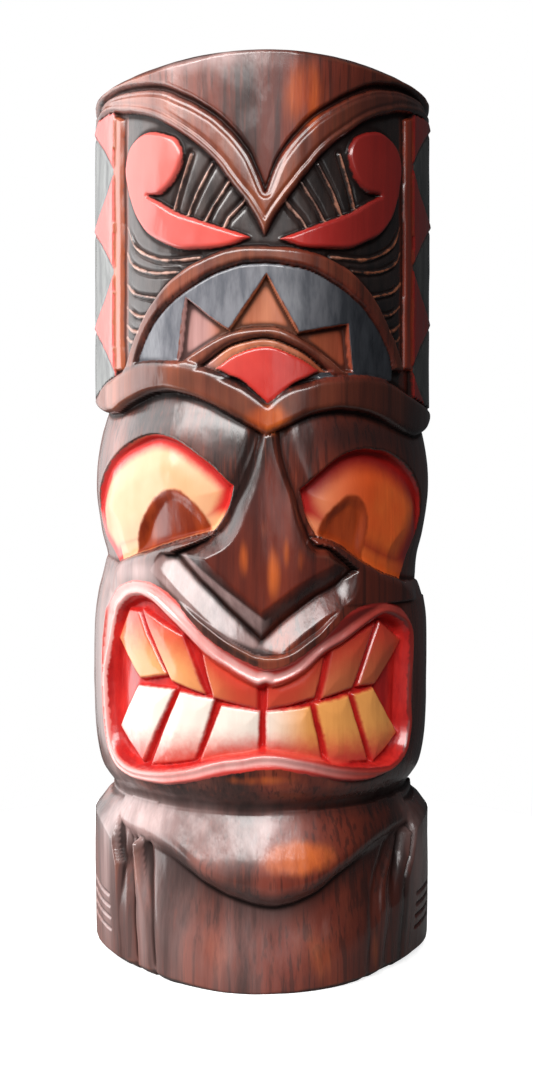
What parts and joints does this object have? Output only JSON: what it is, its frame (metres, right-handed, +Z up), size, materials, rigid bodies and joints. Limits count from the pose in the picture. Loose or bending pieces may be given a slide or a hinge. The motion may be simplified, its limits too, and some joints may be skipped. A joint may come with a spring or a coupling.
{
  "type": "tiki figure",
  "caption": "Half-round carved wooden tiki figure with a relief headdress, staring face, bared teeth and short arms, flat-backed to stand or hang from a ring.",
  "frame": {"origin": "on the flat base, on the middle line of the figure and half of its depth in front of the sawn back", "axes": "+Z up along the log, +Y towards the flat back, +X to the viewer's right when facing the carved front"},
  "size_m": [0.2, 0.1053, 0.5],
  "materials": {
    "carved_wood": "scorched, hand painted and gloss varnished",
    "zinc_strap": "zinc plated, dulled",
    "ring_wire": "zinc plated wire",
    "screw_steel": "yellow zinc plated"
  },
  "bodies": {
    "figure": {"carved_body": "carved_wood", "hanger_strap": "zinc_strap", "hanger_screw_upper": "screw_steel", "hanger_screw_lower": "screw_steel"},
    "ring": {"hanger_ring": "ring_wire"}
  },
  "joints": [
    {"name": "ring_swing", "type": "hinge", "parent": "figure", "child": "ring", "pos_m": [0, 0.0528, 0.462], "axis": [1, 0, 0], "range_deg": [0, 180]}
  ]
}
